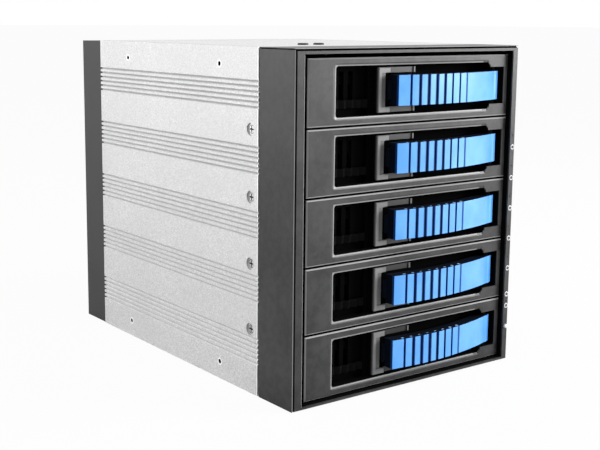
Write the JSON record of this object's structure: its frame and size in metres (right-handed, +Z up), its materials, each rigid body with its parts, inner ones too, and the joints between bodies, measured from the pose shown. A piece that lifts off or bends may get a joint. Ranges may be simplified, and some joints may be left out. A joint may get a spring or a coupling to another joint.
{
  "type": "hot swap drive cage",
  "caption": "Aluminium and plastic bay cage with sliding drive trays, curved swing-out levers, sliding latches, status lamps, backplane and rear fan.",
  "frame": {"origin": "centre of the bounding box in plan, on the surface that the cage stands on", "axes": "+X to the right seen from the front, +Y back into the bay, +Z up"},
  "size_m": [0.146, 0.2192, 0.1701],
  "materials": {
    "charcoal_plastic": "satin moulded charcoal plastic",
    "anodised_aluminium": "bead-blasted clear anodised aluminium",
    "black_plastic": "matte black moulded plastic",
    "blue_plastic": "bright blue satin-gloss plastic",
    "grey_plastic": "mid grey moulded plastic",
    "screw_steel": "zinc plated steel",
    "black_screw": "black oxide steel",
    "black_steel": "black coated sheet steel",
    "clear_plastic": "clear light pipe plastic, unlit",
    "white_plastic": "white moulded plastic",
    "circuit_board": "green solder mask on glass epoxy",
    "connector_plastic": "black glass filled nylon",
    "white_nylon": "natural white nylon"
  },
  "bodies": {
    "cage": {"front_bezel": "charcoal_plastic", "left_side_panel": "anodised_aluminium", "right_side_panel": "anodised_aluminium", "top_cover": "anodised_aluminium", "bottom_plate": "anodised_aluminium", "side_screws": "screw_steel", "cover_screws": "black_screw", "floor_rails": "black_plastic", "divider_1": "black_plastic", "divider_2": "black_plastic", "divider_3": "black_plastic", "divider_4": "black_plastic", "light_pipes": "clear_plastic", "lamp_board": "circuit_board", "rear_housing": "black_plastic", "backplane": "circuit_board", "backplane_screws": "screw_steel", "drive_connectors": "connector_plastic", "data_ports": "connector_plastic", "power_ports": "white_nylon", "buzzer": "connector_plastic", "fan_frame": "black_plastic", "fan_guard": "black_steel", "fan_screws": "black_screw"},
    "fan_rotor": {"fan_rotor": "black_plastic"},
    "reset_button": {"reset_button": "white_plastic"},
    "tray_1": {"tray_1_front": "charcoal_plastic", "tray_1_carrier": "black_plastic", "tray_1_lever_pin": "screw_steel", "tray_1_latch_spring": "black_steel"},
    "tray_1_lever": {"tray_1_lever": "blue_plastic"},
    "tray_1_latch": {"tray_1_latch": "grey_plastic"},
    "tray_2": {"tray_2_front": "charcoal_plastic", "tray_2_carrier": "black_plastic", "tray_2_lever_pin": "screw_steel", "tray_2_latch_spring": "black_steel"},
    "tray_2_lever": {"tray_2_lever": "blue_plastic"},
    "tray_2_latch": {"tray_2_latch": "grey_plastic"},
    "tray_3": {"tray_3_front": "charcoal_plastic", "tray_3_carrier": "black_plastic", "tray_3_lever_pin": "screw_steel", "tray_3_latch_spring": "black_steel"},
    "tray_3_lever": {"tray_3_lever": "blue_plastic"},
    "tray_3_latch": {"tray_3_latch": "grey_plastic"},
    "tray_4": {"tray_4_front": "charcoal_plastic", "tray_4_carrier": "black_plastic", "tray_4_lever_pin": "screw_steel", "tray_4_latch_spring": "black_steel"},
    "tray_4_lever": {"tray_4_lever": "blue_plastic"},
    "tray_4_latch": {"tray_4_latch": "grey_plastic"},
    "tray_5": {"tray_5_front": "charcoal_plastic", "tray_5_carrier": "black_plastic", "tray_5_lever_pin": "screw_steel", "tray_5_latch_spring": "black_steel"},
    "tray_5_lever": {"tray_5_lever": "blue_plastic"},
    "tray_5_latch": {"tray_5_latch": "grey_plastic"}
  },
  "joints": [
    {"name": "tray_1_slide", "type": "slide", "parent": "cage", "child": "tray_1", "axis": [0, 1, 0], "range_m": [-0.15, 0]},
    {"name": "tray_1_lever_hinge", "type": "hinge", "parent": "tray_1", "child": "tray_1_lever", "pos_m": [0.0595, -0.09849, 0.14868], "axis": [0, 0, 1], "range_deg": [0, 80]},
    {"name": "tray_1_latch_slide", "type": "slide", "parent": "tray_1", "child": "tray_1_latch", "axis": [1, 0, 0], "range_m": [-0.004, 0], "stiffness_N_per_m": 250, "springref_m": 0.002, "deforming": ["tray_1_latch_spring"]},
    {"name": "tray_2_slide", "type": "slide", "parent": "cage", "child": "tray_2", "axis": [0, 1, 0], "range_m": [-0.15, 0]},
    {"name": "tray_2_lever_hinge", "type": "hinge", "parent": "tray_2", "child": "tray_2_lever", "pos_m": [0.0595, -0.09849, 0.11603], "axis": [0, 0, 1], "range_deg": [0, 80]},
    {"name": "tray_2_latch_slide", "type": "slide", "parent": "tray_2", "child": "tray_2_latch", "axis": [1, 0, 0], "range_m": [-0.004, 0], "stiffness_N_per_m": 250, "springref_m": 0.002, "deforming": ["tray_2_latch_spring"]},
    {"name": "tray_3_slide", "type": "slide", "parent": "cage", "child": "tray_3", "axis": [0, 1, 0], "range_m": [-0.15, 0]},
    {"name": "tray_3_lever_hinge", "type": "hinge", "parent": "tray_3", "child": "tray_3_lever", "pos_m": [0.0595, -0.09849, 0.08338], "axis": [0, 0, 1], "range_deg": [0, 80]},
    {"name": "tray_3_latch_slide", "type": "slide", "parent": "tray_3", "child": "tray_3_latch", "axis": [1, 0, 0], "range_m": [-0.004, 0], "stiffness_N_per_m": 250, "springref_m": 0.002, "deforming": ["tray_3_latch_spring"]},
    {"name": "tray_4_slide", "type": "slide", "parent": "cage", "child": "tray_4", "axis": [0, 1, 0], "range_m": [-0.15, 0]},
    {"name": "tray_4_lever_hinge", "type": "hinge", "parent": "tray_4", "child": "tray_4_lever", "pos_m": [0.0595, -0.09849, 0.05072], "axis": [0, 0, 1], "range_deg": [0, 80]},
    {"name": "tray_4_latch_slide", "type": "slide", "parent": "tray_4", "child": "tray_4_latch", "axis": [1, 0, 0], "range_m": [-0.004, 0], "stiffness_N_per_m": 250, "springref_m": 0.002, "deforming": ["tray_4_latch_spring"]},
    {"name": "tray_5_slide", "type": "slide", "parent": "cage", "child": "tray_5", "axis": [0, 1, 0], "range_m": [-0.15, 0]},
    {"name": "tray_5_lever_hinge", "type": "hinge", "parent": "tray_5", "child": "tray_5_lever", "pos_m": [0.0595, -0.09849, 0.01808], "axis": [0, 0, 1], "range_deg": [0, 80]},
    {"name": "tray_5_latch_slide", "type": "slide", "parent": "tray_5", "child": "tray_5_latch", "axis": [1, 0, 0], "range_m": [-0.004, 0], "stiffness_N_per_m": 250, "springref_m": 0.002, "deforming": ["tray_5_latch_spring"]},
    {"name": "fan_spin", "type": "hinge", "parent": "cage", "child": "fan_rotor", "pos_m": [0.02, 0.09463, 0.0846], "axis": [0, 1, 0], "continuous": true},
    {"name": "reset_press", "type": "slide", "parent": "cage", "child": "reset_button", "axis": [0, 1, 0], "range_m": [0, 0.0008], "stiffness_N_per_m": 400, "springref_m": -0.0005}
  ]
}
